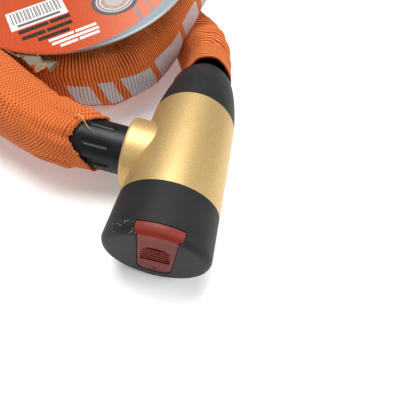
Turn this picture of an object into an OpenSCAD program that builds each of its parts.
// Armoured cable lock for a motorcycle or bicycle: a cylindrical lock head with a side collar,
// a sleeved armoured cable fixed in the rear cap, and a cable end that plugs into the collar.
// Head axis along +Y, key end at the front (-Y), +Z up, collar towards -X.
// The lock lies on the plane z = 0, with the origin below the middle of the head.

/* [Lock head] */
// Outside diameter of the lock head
body_d = 46; // [38:1:56]
// Length of the gold body shell
shell_len = 57; // [52:1:72]
// Wall of the body shell
shell_wall = 2.4; // [1.6:0.1:3.2]
// Length of the key end cap
key_cap_len = 23; // [19:1:30]
// Length of the bullet-shaped rear cap
rear_cap_len = 42.5; // [36:0.5:54]
// Diameter of the rear cap's blunt end
rear_end_d = 27; // [26:0.5:33]
// Fullness of the rear cap's curve, where 2 is an ellipse
rear_fullness = 1.4; // [1.2:0.1:2.2]
// Radius of the rounded rim of the key end
rim_r = 3.5; // [2:0.5:4]
// Depth of the steel core's socket in each cap
core_in_cap = 11; // [8:1:13]

/* [Collar] */
// Outside diameter of the side collar
collar_d = 35.4; // [32:0.2:38]
// How far the collar stands out of the body's side
collar_stand = 4.3; // [3:0.1:8]
// Distance from the key face to the collar's axis
collar_y = 50.8; // [49:0.1:56]
// Depth of the ferrule's seat in the collar
seat_depth = 2; // [1:0.5:3]

/* [Cable end] */
// Diameter of the ferrule on the cable end
ferrule_d = 24.6; // [22:0.1:27]
// Length of the ferrule
ferrule_len = 38; // [32:1:46]
// Diameter of the locking pin on the cable end
pin_d = 16; // [13:0.5:18]
// Diameter of the neck that the bolt drops into
neck_d = 8.4; // [7:0.2:9.6]
// How far the locking pin reaches past the head's axis
pin_reach = 9; // [8:0.5:11]

/* [Lock cylinder] */
// Outside diameter of the lock cylinder's housing
housing_d = 22; // [20:0.5:24]
// Diameter of the turning plug
plug_d = 14; // [12:0.5:15]
// Number of locking discs
disc_count = 8; // [5:1:8]
// Width of the keyway
keyway_w = 2.2; // [1.8:0.1:2.6]
// Height of the keyway
keyway_h = 7; // [6:0.2:8]
// Travel of the locking bolt for a quarter turn of the key
bolt_travel = 4; // [3:0.1:4.4]

/* [Dust cover] */
// Width of the dust cover's plate
cover_w = 15; // [13:0.2:17]
// Thickness of the dust cover's plate
cover_t = 2.4; // [2:0.1:2.8]
// Distance from the head's axis down to the cover's rounded tip
cover_tip = 14.7; // [13.5:0.1:16]
// Width of the flange that hooks over the rim
flange_w = 18; // [16.5:0.5:22]

/* [Cable and sleeve] */
// Outside diameter of the fabric sleeve
sleeve_d = 33; // [30:0.5:34]
// Thickness of the fabric sleeve
sleeve_t = 1.2; // [0.8:0.1:1.6]
// Outside diameter of the plastic jacket over the armour
jacket_d = 22; // [20:0.5:24]
// Diameter of the steel cable in the middle
cable_d = 7; // [5:0.5:9]
// Spacing of the armour shells along the cable
ring_step = 23; // [20:1:27]

/* [Retail card and keys] */
// Diameter of the printed card
card_d = 144; // [120:4:152]
// Thickness of the card
card_t = 0.8; // [0.5:0.1:1.2]
// Length of a key blade
blade_len = 34; // [28:1:40]

/* [Hidden] */
$fn = 64;

fit = 0.1;                                  // radial gap of a close fit between two pieces
run = 0.06;                                 // radial gap of a running fit
gap = 0.3;                                  // gap beside a piece that moves
swage = 0.4;                                // gap round the cable in a crimp
body_r = body_d / 2;
core_r = body_r - shell_wall - fit;
shell_y = key_cap_len;                      // where the gold shell starts
rear_y = key_cap_len + shell_len;           // where the rear cap starts
head_len = rear_y + rear_cap_len;
core_y0 = key_cap_len - core_in_cap;
core_y1 = rear_y + core_in_cap;
collar_end = body_r + collar_stand;
ferrule_r = ferrule_d / 2;
ferrule_x0 = -collar_end + seat_depth;      // front face of the ferrule
ferrule_x1 = ferrule_x0 - ferrule_len;      // back face, where the cable starts
collar_bore_r = ferrule_r + 0.4;
pin_r = pin_d / 2;
neck_r = neck_d / 2;
pin_bore_r = pin_r + gap;
neck_len = 8;
pin_tail = 4;                               // length of the pin that the ferrule holds
crimp_hole = 24;                            // depth of the cable's hole in the crimp, from the ferrule's back
cover_y0 = 0.3;                             // the cover's face lies just below the key face
cover_y1 = cover_y0 + cover_t;
tongue = 1.2;                               // guide tongue on each side of the cover
tongue_t = 0.9;
tip_r = 5;
flange_y = 4.4;
flange_drop = 3.4;
recess_y = cover_y1 + gap;
housing_r = housing_d / 2;
plug_r = plug_d / 2;
housing_y0 = recess_y + 3;
housing_y1 = collar_y - pin_bore_r - 8.6;
plug_y0 = recess_y + 0.4;
disc_pitch = (housing_y1 - housing_y0 - 8) / disc_count;
disc_t = disc_pitch * 0.62;
cage_r = plug_r - 1.3;
cam_t = 1.9;
cam_y0 = housing_y1 + gap;
plate_y0 = cam_y0 + cam_t + gap;
plate_t = 2.6;
yoke_pin_r = 1.4;
yoke_offset = bolt_travel / sqrt(2);        // a quarter turn centred on level gives the whole travel
bolt_w = 6;
bolt_z = pin_r + 0.5;                       // underside of the bolt's block when it is drawn back
arm_z = bolt_z + 3.6;
arm_t = 2.6;
bolt_y1 = collar_y + pin_r - 1.5;
anchor_r = 9.5;
anchor_y0 = collar_y + pin_bore_r + 7;
anchor_pin_y = (anchor_y0 + core_y1) / 2;
cable_y0 = anchor_pin_y + 3.5;              // blind end of the cable's hole in the fixed crimp
crimp_y1 = core_y1 + 8;
jacket_r = jacket_d / 2;
jacket_y0 = crimp_y1 + gap;
armour_r = jacket_r - 2.2;
cable_r = cable_d / 2;
sleeve_r = sleeve_d / 2;
sleeve_in = sleeve_r - sleeve_t;
screw_r = 1.6;
screw_head_r = screw_r + 1.1;
screw_head_t = 0.9;
screw_sink = 0.5;                           // depth of a screw's head below the cap's surface
detent_x = -12.5;
detent_r = 1.8;
detent_low = sqrt(pow(core_r, 2) - pow(abs(detent_x) + detent_r, 2)); // depth of the core's surface under the detent
detent_screw_top = 1.3 - detent_low;
cover_ball_r = 1;
cover_ball_z = 15;
disc_y0 = housing_y0 + 4;                   // first locking disc
disc_y1 = disc_y0 + disc_count * disc_pitch;
slot_half = 0.9;                            // half the width of the sidebar's slot
tail_half = 2.5;                            // half the width of the plug's square tail
dimple_r = 2.2;                             // long dimples round the ferrule
dimple_x0 = 10;
dimple_x1 = 20;
dimple_count = 8;
thumb_y = rear_y + 18;                      // shallow thumb dimple on top of the rear cap
thumb_r = 20;
thumb_depth = 1;
sleeve_sides = 12;
mouth_over = 4.5;                           // how far the sleeve reaches over the rear cap
hem_over = 14;                              // and over the ferrule
card_place = [-94, 154, 52];
card_turn = [11.5, -11.5, 0];
key_t = 1.8;
key_pitch = 2.1;                            // height of one key over the other
key_w = 7;
bow_r = 9;

axis_x = (collar_end - body_r) / 2;         // puts the origin below the middle of the head
face_y = -head_len / 2;

// Route of the cable from the rear cap's end round two turns to the ferrule: places from the head's
// axis, from the key face and from the ground.
ROUTE = [
    [-2, 142, 21], [-8, 165, 18], [-18, 188, 17], [-34, 208, 17], [-55, 222, 17], [-80, 227, 17],
    [-104, 222, 17], [-124, 208, 17], [-137, 188, 17], [-142, 164, 17], [-139, 140, 17], [-128, 120, 17],
    [-111, 107, 17], [-91, 102, 18], [-71, 106, 19], [-54, 119, 21], [-45, 140, 26], [-40, 162, 36],
    [-34, 184, 46], [-28, 206, 53], [-28, 229, 53], [-38, 251, 50], [-58, 268, 43], [-84, 277, 33],
    [-112, 277, 24], [-139, 268, 18], [-162, 251, 17], [-179, 229, 17], [-189, 203, 17], [-191, 176, 17],
    [-187, 149, 17], [-178, 124, 18], [-164, 101, 21], [-144, 83, 25], [-121, 71, 27], [-98, 62, 26]
];

// ---- placing and small shapes ----

module head() translate([axis_x, face_y, body_r]) children();

module rod_y(r, y0, y1) translate([0, y0, 0]) rotate([-90, 0, 0]) cylinder(r = r, h = y1 - y0);

module rod_x(r, x0, x1) translate([x0, 0, 0]) rotate([0, 90, 0]) cylinder(r = r, h = x1 - x0);

module rod_z(r, z0, z1) translate([0, 0, z0]) cylinder(r = r, h = z1 - z0);

// Turns a profile of [radius, y] round the head's axis.
module turned_y(points) rotate([-90, 0, 0]) rotate_extrude() polygon(points);

// Turns a profile of [radius, distance towards -X] round the collar's axis.
module turned_x(points) translate([0, collar_y, 0]) rotate([0, -90, 0]) rotate_extrude() polygon(points);

module block(x0, x1, y0, y1, z0, z1) translate([x0, y0, z0]) cube([x1 - x0, y1 - y0, z1 - z0]);

// ---- curves ----

function arc_points(cx, cy, r, a0, a1, n = 8) =
    [for (i = [0:n]) let (a = a0 + (a1 - a0) * i / n) [cx + r * cos(a), cy + r * sin(a)]];

function spline(a, b, c, d, t) =
    (2 * b + (c - a) * t + (2 * a - 5 * b + 4 * c - d) * t * t + (3 * b - a - 3 * c + d) * t * t * t) / 2;

// Smooth curve through points, with n steps between each two.
function smooth(p, n) = let (last = len(p) - 1)
    concat([for (i = [0:last - 1], k = [0:n - 1])
        spline(p[max(i - 1, 0)], p[i], p[i + 1], p[min(i + 2, last)], k / n)], [p[last]]);

// Running length up to each point of a curve.
function lengths(p) = [for (i = 0, s = 0; i < len(p); i = i + 1,
    s = i < len(p) ? s + norm(p[i] - p[i - 1]) : s) s];

// The same curve with stations a whole step apart, as near to the wanted step as divides it evenly.
function stations(p, step) = let (
    s = lengths(p),
    total = s[len(s) - 1],
    n = round(total / step),
    xs = [for (i = [0:len(p) - 1]) [s[i], p[i].x]],
    ys = [for (i = [0:len(p) - 1]) [s[i], p[i].y]],
    zs = [for (i = [0:len(p) - 1]) [s[i], p[i].z]])
    [for (k = [0:n]) let (d = total * k / n) [lookup(d, xs), lookup(d, ys), lookup(d, zs)]];

function unit(v) = v / norm(v);

// Direction of the curve at station i. Each curve starts straight out of the rear cap and ends
// straight into the collar.
function heading(p, i) = i == 0 ? [0, 1, 0] : i == len(p) - 1 ? [1, 0, 0] : unit(p[i + 1] - p[i - 1]);

// Ring of points round station i, square to the curve.
function ring(p, i, r, sides) = let (
    t = heading(p, i),
    side = unit(cross(t, [0, 0, 1])),
    up = cross(side, t))
    [for (k = [0:sides - 1]) let (a = 360 * k / sides) p[i] + r * (cos(a) * side + sin(a) * up)];

// Solid tube along a curve, with a radius for each station.
module swept(p, radii, sides) {
    n = len(p);
    skin = [for (i = [0:n - 1]) each ring(p, i, radii[i], sides)];
    walls = [for (i = [0:n - 2], k = [0:sides - 1]) let (a = i * sides + k, b = i * sides + (k + 1) % sides)
        [a, a + sides, b + sides, b]];
    ends = [[for (k = [0:sides - 1]) k], [for (k = [sides - 1:-1:0]) (n - 1) * sides + k]];
    polyhedron(points = skin, faces = concat(walls, ends), convexity = 10);
}

// Hollow tube along a curve, open at both ends.
module swept_pipe(p, outer, inner, sides = sleeve_sides) {
    n = len(p);
    skin = [for (i = [0:n - 1]) each ring(p, i, outer[i], sides)];
    bore = [for (i = [0:n - 1]) each ring(p, i, inner[i], sides)];
    m = n * sides;
    outside = [for (i = [0:n - 2], k = [0:sides - 1]) let (a = i * sides + k, b = i * sides + (k + 1) % sides)
        [a, a + sides, b + sides, b]];
    inside = [for (f = outside) [for (k = [3:-1:0]) f[k] + m]];
    first = [for (k = [0:sides - 1]) let (j = (k + 1) % sides) [k, j, j + m, k + m]];
    far = (n - 1) * sides;
    last = [for (k = [0:sides - 1]) let (j = (k + 1) % sides) [far + j, far + k, far + k + m, far + j + m]];
    polyhedron(points = concat(skin, bore), faces = concat(outside, inside, first, last), convexity = 10);
}

module coil_spring(r, wire_r, length, turns) {
    steps = 10;
    p = [for (i = [0:turns * steps])
        [r * cos(360 * i / steps), r * sin(360 * i / steps), length * i / (turns * steps)]];
    n = len(p);
    sides = 6;
    rings = [for (i = [0:n - 1], k = [0:sides - 1]) let (a = 360 * k / sides, w = 360 * i / steps)
        [(r + wire_r * cos(a)) * cos(w), (r + wire_r * cos(a)) * sin(w), p[i].z + wire_r * sin(a)]];
    walls = [for (i = [0:n - 2], k = [0:sides - 1]) let (a = i * sides + k, b = i * sides + (k + 1) % sides)
        [a, a + sides, b + sides, b]];
    ends = [[for (k = [0:sides - 1]) k], [for (k = [sides - 1:-1:0]) (n - 1) * sides + k]];
    polyhedron(points = rings, faces = concat(walls, ends), convexity = 6);
}

// ---- cable route in the model's frame ----

cable_start = [0, jacket_y0, body_r];
cable_end = [ferrule_x1 - 3.8, collar_y + 0.4, body_r];
rear_exit = [0, head_len, body_r];
ferrule_run = [ferrule_x1 - 14, collar_y + 3, body_r + 1];
rough = concat([cable_start, rear_exit], ROUTE, [ferrule_run, cable_end]);
centre = [for (q = stations(smooth(rough, 6), ring_step)) q + [axis_x, face_y, 0]];

// The sleeve starts on the rear cap's shoulder and ends round the ferrule.
sleeve_rough = concat(
    [[0, head_len - mouth_over, body_r], [0, head_len + 6, body_r]],
    ROUTE,
    [ferrule_run, [ferrule_x1, collar_y, body_r], [ferrule_x1 + hem_over, collar_y, body_r]]);
sleeve_line = [for (q = stations(smooth(sleeve_rough, 6), ring_step)) q + [axis_x, face_y, 0]];
mouth_r = (dome_r(head_len - mouth_over) + gap) / cos(180 / sleeve_sides) + gap;
sleeve_inner = [for (i = [0:len(sleeve_line) - 1]) i == 0 ? max(mouth_r, sleeve_in) : sleeve_in];
sleeve_outer = [for (r = sleeve_inner) r + sleeve_t];

// Radius of the rear cap at a distance from the key face.
function dome_r(y) = let (u = (y - rear_y) / rear_cap_len, end_r = rear_end_d / 2)
    end_r + (body_r - end_r) * sqrt(max(0, 1 - pow(u, rear_fullness)));

// ---- head: casing ----

module body_shell() color([0.82, 0.66, 0.36]) head() {
    edge = 1.2;
    difference() {
        union() {
            rod_y(body_r, shell_y, rear_y);
            turned_x(concat([[0, 0], [collar_d / 2, 0]],
                arc_points(collar_d / 2 - edge, collar_end - edge, edge, 0, 90, 4), [[0, collar_end]]));
        }
        rod_y(body_r - shell_wall, shell_y - 1, rear_y + 1);
        translate([0, collar_y, 0]) rod_x(collar_bore_r, -collar_end - 1, 0);
    }
}

module bolt_channel() {
    block(-yoke_offset - 3, yoke_offset + 4, plate_y0 - gap, plate_y0 + plate_t + gap,
        -yoke_offset - 4.5 - bolt_travel, core_r + 1);
    block(-bolt_w / 2 - gap, bolt_w / 2 + gap, plate_y0, bolt_y1 + gap, 0, core_r + 1);
}

module lock_core() color([0.62, 0.63, 0.65]) head() difference() {
    rod_y(core_r, core_y0, core_y1);
    rod_y(housing_r + fit, core_y0 - 1, housing_y1);
    rod_y(plug_r + 4 * gap, housing_y1 - 0.01, plate_y0);
    bolt_channel();
    translate([0, collar_y, 0]) {
        rod_x(pin_bore_r, -core_r - 1, pin_reach + 1.5);
        rod_x(collar_bore_r, -core_r - 1, -core_r + 2.5);
        translate([detent_x, 0, 0]) rod_z(detent_r + run, -core_r - 1, 0);
    }
    rod_y(anchor_r + fit, anchor_y0, core_y1 + 1);
    translate([0, anchor_pin_y, 0]) rod_z(screw_r + fit, -core_r - 1, core_r + 1);
    cap_screw_places() rod_z(screw_r + fit, core_r - 6, core_r + 1);
    for (m = [0, 1]) mirror([m, 0, 0]) translate([0, collar_y, 0])
        block(core_r - 1.2, core_r + 1, 12, 26, -3, 3);
}

// Screws enter from below, on the side that lies down, two through each cap.
module cap_screw_places() {
    middle = core_in_cap / 2;
    for (y = [core_y0 + middle, core_y1 - middle], a = [140, 220])
        translate([0, y, 0]) rotate([0, a, 0]) children();
}

// Countersunk holes for them in a cap.
module cap_screw_holes() cap_screw_places() {
    rod_z(screw_r + fit, core_r - 2, body_r + 1);
    rod_z(screw_head_r + 2 * fit, body_r - screw_sink - screw_head_t, body_r + 1);
}

// Outside of the key end cap, with its rounded rim.
module key_end_form(shrink = 0) {
    r = body_r - shrink;
    turned_y(concat([[0, shrink]], arc_points(r - rim_r, shrink + rim_r, rim_r, -90, 0),
        [[r, key_cap_len], [0, key_cap_len]]));
}

// Outline of the cover seen from the key end, with rounded corners at the tip.
module cover_outline(w, tip, top) {
    for (m = [0, 1]) mirror([m, 0]) translate([w / 2 - tip_r, -tip + tip_r]) circle(tip_r);
    translate([-w / 2 + tip_r, -tip]) square([w - 2 * tip_r, tip + top]);
    translate([-w / 2, -tip + tip_r]) square([w, tip - tip_r + top]);
}

module cover_slab(w, tip, top, y0, y1)
    translate([0, y1, 0]) rotate([90, 0, 0]) linear_extrude(y1 - y0) cover_outline(w, tip, top);

module key_end_cap() color([0.17, 0.17, 0.18]) head() difference() {
    key_end_form();
    rod_y(core_r + fit, core_y0, key_cap_len + 1);
    rod_y(housing_r + fit, housing_y0 - fit, core_y0 + 1);
    rod_y(plug_r + 0.9, recess_y - 1, housing_y0);
    cover_slab(cover_w + 2 * gap, cover_tip + gap, body_r + 1, -1, recess_y);
    cover_slab(cover_w + 2 * tongue + 2 * gap, cover_tip + gap, body_r + 1, recess_y - gap - tongue_t - gap, recess_y);
    block(-flange_w / 2 - gap, flange_w / 2 + gap, -1, flange_y + gap, body_r - flange_drop - gap, body_r + 1);
    translate([0, recess_y - 0.01, cover_ball_z]) rod_y(cover_ball_r + run, 0, 6);
    cap_screw_holes();
}

module rear_cap() color([0.17, 0.17, 0.18]) head() {
    n = 14;
    end_r = jacket_r + 0.5;
    difference() {
        turned_y(concat(
            [for (i = [0:n]) let (y = rear_y + rear_cap_len * (1 - pow(1 - i / n, 2))) [dome_r(y), y]],
            [[end_r, head_len], [end_r, core_y1 + 10], [core_r + fit, core_y1 + 0.2], [core_r + fit, rear_y]]));
        cap_screw_holes();
        thumb_dimple();
    }
}

// Ball that cuts the thumb dimple, set square to the cap's slope.
module thumb_dimple() {
    slope = atan(dome_r(thumb_y - 1) - dome_r(thumb_y + 1)) / 2;
    translate([0, thumb_y, dome_r(thumb_y)]) rotate([-slope, 0, 0])
        translate([0, 0, thumb_r - thumb_depth]) sphere(r = thumb_r);
}

module cap_screws() color([0.35, 0.35, 0.37]) head() cap_screw_places() {
    difference() {
        union() {
            rod_z(screw_r, core_r - 5.5, body_r - screw_sink - screw_head_t + 0.1);
            rod_z(screw_head_r, body_r - screw_sink - screw_head_t, body_r - screw_sink);
        }
        translate([0, 0, body_r - screw_sink - 0.6]) cylinder(r = 1.1, h = 2, $fn = 6);
    }
}

// ---- head: dust cover ----

module dust_cover() color([0.45, 0.12, 0.1]) head() {
    scoop_r = cover_w * 0.41;
    scoop_z = 4.5;
    scoop_floor = cover_y0 + 0.9;
    difference() {
        intersection() {
            union() {
                cover_slab(cover_w, cover_tip, body_r, cover_y0, cover_y1);
                cover_slab(cover_w + 2 * tongue, cover_tip, body_r - flange_drop - gap,
                    cover_y1 - tongue_t, cover_y1);
                block(-flange_w / 2, flange_w / 2, cover_y0, flange_y, body_r - flange_drop, body_r);
            }
            key_end_form(0.25);
        }
        translate([0, 0, scoop_z]) rod_y(scoop_r, -1, scoop_floor);
        block(-scoop_r, scoop_r, -1, scoop_floor, -3, scoop_z);
        translate([0, cover_y0 + 0.4, -cover_tip + 2.6]) rotate([90, 0, 0])
            linear_extrude(2) polygon([[-1.3, 1.1], [1.3, 1.1], [0, -0.9]]);
        translate([0, cover_y1, cover_ball_z]) rod_y(cover_ball_r + fit, -0.4, 1);
    }
    for (k = [0:4]) {
        z = -1.6 + k * 2.1;
        half = z < scoop_z ? scoop_r : sqrt(scoop_r * scoop_r - pow(z - scoop_z, 2));
        block(-half + 0.7, half - 0.7, cover_y0 + 0.25, scoop_floor + 0.05, z, z + 0.8);
    }
}

module cover_detent_ball() color([0.75, 0.75, 0.78]) head()
    translate([0, cover_y1 + 0.1 + cover_ball_r, cover_ball_z]) sphere(r = cover_ball_r);

module cover_detent_spring() color([0.6, 0.6, 0.63]) head()
    translate([0, cover_y1 + 2.4, cover_ball_z]) rotate([-90, 0, 0]) coil_spring(0.65, 0.2, 3.1, 4);

// ---- head: lock cylinder ----

module keyway(y0, y1) block(-keyway_w / 2, keyway_w / 2, y0, y1, -keyway_h / 2, keyway_h / 2);

module cylinder_housing() color([0.72, 0.6, 0.35]) head() difference() {
    rod_y(housing_r, housing_y0, housing_y1);
    rod_y(plug_r + run, housing_y0 - 1, housing_y1 + 1);
    block(-slot_half, slot_half, housing_y0 + 3, housing_y1 - 3, plug_r - 1, plug_r + 1.4);
}

module cylinder_plug() color([0.78, 0.72, 0.55]) head() difference() {
    union() {
        rod_y(plug_r, plug_y0, housing_y1 - 1.6);
        block(-tail_half, tail_half, housing_y1 - 1.7, cam_y0 + cam_t - 0.1, -tail_half, tail_half);
    }
    rod_y(cage_r, disc_y0, disc_y1);
    keyway(plug_y0 - 1, disc_y0 + 1);
    rod_y(plug_r - 2, plug_y0 - 1, plug_y0 + 1.3);
    block(-slot_half, slot_half, disc_y0, disc_y1, cage_r - 1, plug_r + 1);
}

module lock_discs() color([0.85, 0.75, 0.45]) head()
    for (i = [0:disc_count - 1]) difference() {
        rod_y(cage_r - run, disc_y0 + i * disc_pitch + 0.2, disc_y0 + i * disc_pitch + 0.2 + disc_t);
        keyway(disc_y0 - 1, housing_y1);
        rotate([0, (i % 4) * 18 - 27, 0])
            block(-slot_half, slot_half, disc_y0 - 1, housing_y1, cage_r - 1.2, cage_r + 1);
    }

module sidebar() color([0.7, 0.7, 0.72]) head()
    block(0.2 - slot_half, slot_half - 0.2, disc_y0 + 0.4, disc_y1 - 0.4, cage_r + fit, plug_r - fit);

module guard_disc() color([0.5, 0.5, 0.53]) head() difference() {
    rod_y(plug_r - 2 - run, plug_y0, plug_y0 + 1.2);
    keyway(plug_y0 - 1, plug_y0 + 2);
}

module plug_clip() color([0.55, 0.55, 0.58]) head() difference() {
    rod_y(plug_r - 0.4, housing_y1 - 1.5, housing_y1 - 0.5);
    rod_y(3.7, housing_y1 - 2, housing_y1);
    block(-2, 2, housing_y1 - 2, housing_y1, 0, plug_r + 1);
}

module drive_cam() color([0.66, 0.67, 0.7]) head() {
    difference() {
        rod_y(plug_r, cam_y0, cam_y0 + cam_t);
        block(-tail_half - fit, tail_half + fit, cam_y0 - 1, cam_y0 + cam_t + 1, -tail_half - fit, tail_half + fit);
    }
    rotate([0, -45, 0]) translate([yoke_offset, 0, 0]) rod_y(yoke_pin_r, cam_y0 + cam_t - 0.01, plate_y0 + plate_t);
}

// ---- head: bolt ----

module locking_bolt() color([0.6, 0.6, 0.64]) head() {
    x0 = -yoke_offset - 2;
    x1 = yoke_offset + 3;
    slot_z = yoke_offset / sqrt(2);
    slot_h = yoke_pin_r + 0.2;
    difference() {
        block(x0, x1, plate_y0, plate_y0 + plate_t, slot_z - 4, arm_z + arm_t);
        block(0, x1 - 0.8, plate_y0 - 1, plate_y0 + plate_t + 1, slot_z - slot_h, slot_z + slot_h);
    }
    block(-bolt_w / 2, bolt_w / 2, plate_y0 + plate_t, bolt_y1, arm_z, arm_z + arm_t);
    block(-bolt_w / 2, bolt_w / 2, collar_y - 5.5, bolt_y1, bolt_z, arm_z);
}

module bolt_spring() color([0.6, 0.6, 0.63]) head()
    translate([0, collar_y, arm_z + arm_t + 0.35])
        coil_spring(1.6, 0.3, core_r - 2.9 - arm_z - arm_t, 3);

module bolt_cover_plate() color([0.55, 0.56, 0.58]) head() intersection() {
    block(-bolt_w / 2 - gap + fit, bolt_w / 2 + gap - fit, plate_y0 + plate_t + gap + fit, bolt_y1 + gap - fit,
        core_r - 2.2, core_r);
    rod_y(core_r, core_y0, core_y1);
}

// ---- cable end ----

module cable_end_pin() color([0.72, 0.73, 0.75]) head() {
    nose = 2;
    groove = 0.8;
    turned_x([[0, -pin_reach], [pin_r - nose, -pin_reach], [pin_r, -pin_reach + nose],
        [pin_r, -neck_len / 2], [neck_r, -neck_len / 2 + 1], [neck_r, neck_len / 2 - 1],
        [pin_r, neck_len / 2], [pin_r, -detent_x - 2], [pin_r - groove, -detent_x - 0.8],
        [pin_r - groove, -detent_x + 0.8], [pin_r, -detent_x + 2], [pin_r, -ferrule_x0 + pin_tail],
        [0, -ferrule_x0 + pin_tail]]);
}

module cable_end_ferrule() color([0.1, 0.1, 0.11]) head() {
    edge = 1.5;
    d0 = -ferrule_x0;
    d1 = -ferrule_x1;
    difference() {
        turned_x([[pin_r + fit, d0], [ferrule_r - edge, d0], [ferrule_r, d0 + edge], [ferrule_r, d1 - edge],
            [ferrule_r - edge, d1], [anchor_r + fit, d1], [anchor_r + fit, d0 + pin_tail + 0.2],
            [pin_r + fit, d0 + pin_tail + 0.2]]);
        translate([0, collar_y, 0]) for (k = [0:dimple_count - 1]) rotate([360 / dimple_count * k - 4, 0, 0])
            translate([0, 0, ferrule_r + 1]) {
                rod_x(dimple_r, ferrule_x0 - dimple_x1, ferrule_x0 - dimple_x0);
                for (x = [dimple_x0, dimple_x1]) translate([ferrule_x0 - x, 0, 0]) sphere(r = dimple_r);
            }
    }
}

module cable_end_crimp() color([0.66, 0.67, 0.69]) head()
    turned_x([[0, pin_tail + 0.2 - ferrule_x0], [anchor_r, pin_tail + 0.2 - ferrule_x0], [anchor_r, -ferrule_x1],
        [cable_r + swage, -ferrule_x1], [cable_r + swage, -ferrule_x1 - crimp_hole], [0, -ferrule_x1 - crimp_hole]]);

module end_seal_ring() color([0.05, 0.05, 0.05]) head()
    turned_x([[pin_r + fit, -ferrule_x0 - 1.6], [ferrule_r - 1, -ferrule_x0 - 1.6],
        [ferrule_r - 1, -ferrule_x0 - 0.1], [pin_r + fit, -ferrule_x0 - 0.1]]);

module collar_bush() color([0.12, 0.12, 0.13]) head()
    turned_x([[pin_bore_r, core_r - 2.4], [collar_bore_r - fit, core_r - 2.4],
        [collar_bore_r - fit, -ferrule_x0 - 1.9], [pin_bore_r, -ferrule_x0 - 1.9]]);

module detent_ball() color([0.75, 0.75, 0.78]) head()
    translate([detent_x, collar_y, -pin_r - 0.15 - detent_r]) sphere(r = detent_r);

// The detent's ball sits on a short spring, held by a screw that ends inside the core's surface.
module detent_spring() color([0.6, 0.6, 0.63]) head() {
    wire = 0.2;
    low = detent_screw_top + wire + fit;
    high = -pin_r - 0.15 - 2 * detent_r - wire - fit;
    translate([detent_x, collar_y, low]) coil_spring(1.1, wire, high - low, 1.5);
}

module detent_screw() color([0.35, 0.35, 0.37]) head()
    translate([detent_x, collar_y, 0]) rod_z(detent_r, 0.2 - detent_low, detent_screw_top);

// ---- fixed end ----

module fixed_end_crimp() color([0.66, 0.67, 0.69]) head() difference() {
    rod_y(anchor_r, anchor_y0 + 0.1, crimp_y1);
    rod_y(cable_r + swage, cable_y0, crimp_y1 + 1);
    translate([0, anchor_pin_y, 0]) rod_z(screw_r + fit, -core_r, core_r);
}

module fixed_end_cross_pin() color([0.4, 0.4, 0.42]) head()
    translate([0, anchor_pin_y, 0]) rod_z(screw_r, -core_r + 0.3, core_r - 0.3);

// ---- cable ----

// The bare steel cable, which runs on straight into the crimp at each end.
module steel_cable() color([0.55, 0.56, 0.58]) {
    place = [axis_x, face_y, 0];
    line = concat([[0, cable_y0 + gap, body_r] + place], centre,
        [[ferrule_x1 - 0.6, collar_y, body_r] + place, [ferrule_x1 + crimp_hole - 2, collar_y, body_r] + place]);
    swept(line, [for (q = line) cable_r], 8);
}

// One armour shell: a tube with a narrowed tail that nests in its neighbour's mouth.
module armour_shell(length) rotate_extrude() polygon([
    [cable_r + 1, 0], [armour_r - 1.5, 0], [armour_r, 4], [armour_r, length], [armour_r - 1.4, length],
    [armour_r - 1.4, 5], [cable_r + 1, 3]]);

module along(a, b) {
    d = b - a;
    translate(a) rotate([0, acos(d.z / norm(d)), atan2(d.y, d.x)]) children();
}

module armour_shells() color([0.5, 0.51, 0.54]) {
    last = len(centre) - 1;
    for (i = [1:last - 2]) let (step = norm(centre[i + 1] - centre[i]))
        along(centre[i], centre[i + 1]) translate([0, 0, 1.6]) armour_shell(step - 5.6);
}

module cable_jacket() color([0.12, 0.12, 0.13]) {
    n = len(centre);
    swept_pipe(centre, [for (i = [0:n - 1]) jacket_r], [for (i = [0:n - 1]) jacket_r - 1.1]);
}

module fabric_sleeve() color([0.84, 0.36, 0.14]) swept_pipe(sleeve_line, sleeve_outer, sleeve_inner);

// ---- retail card and keys ----

module on_card() translate([axis_x, face_y, 0]) translate(card_place) rotate(card_turn) children();

module label_card() color([0.86, 0.36, 0.16]) on_card() cylinder(r = card_d / 2, h = card_t);

// The two keys lie one on the other under the card, fanned out, with their tips showing at its edge.
module key_places() on_card() for (k = [0, 1])
    translate([10 + 4 * k, -card_d / 2 - 7 + 4 * k, -0.3 - key_t - key_pitch * k]) rotate([0, 0, 52 + 17 * k])
        children();

module key_blades() color([0.8, 0.8, 0.82]) key_places() difference() {
    cut_r = 1.2;
    translate([-key_w / 2, 0, 0]) cube([key_w, blade_len, key_t]);
    for (m = [0, 1]) mirror([m, 0, 0]) translate([key_w / 2, 0, -1]) rotate([0, 0, 40]) translate([0, -4, 0])
        cube([5, 8, key_t + 2]);
    for (k = [0:4]) translate([(0.5 - k % 2) * key_w, blade_len * (0.25 + 0.13 * k), -1])
        cylinder(r = cut_r, h = key_t + 2);
}

module key_bows() color([0.1, 0.1, 0.11]) key_places() difference() {
    translate([0, blade_len + bow_r, 0]) cylinder(r = bow_r, h = key_t);
    translate([0, blade_len + bow_r + 4, -1]) cylinder(r = 2.5, h = key_t + 2);
    translate([-bow_r - 1, blade_len - 10, -1]) cube([2 * bow_r + 2, 10.05, key_t + 2]);
}

body_shell();
lock_core();
key_end_cap();
rear_cap();
cap_screws();
dust_cover();
cover_detent_ball();
cover_detent_spring();
cylinder_housing();
cylinder_plug();
lock_discs();
sidebar();
guard_disc();
plug_clip();
drive_cam();
locking_bolt();
bolt_spring();
bolt_cover_plate();
cable_end_pin();
cable_end_ferrule();
cable_end_crimp();
end_seal_ring();
collar_bush();
detent_ball();
detent_spring();
detent_screw();
fixed_end_crimp();
fixed_end_cross_pin();
steel_cable();
armour_shells();
cable_jacket();
fabric_sleeve();
label_card();
key_blades();
key_bows();
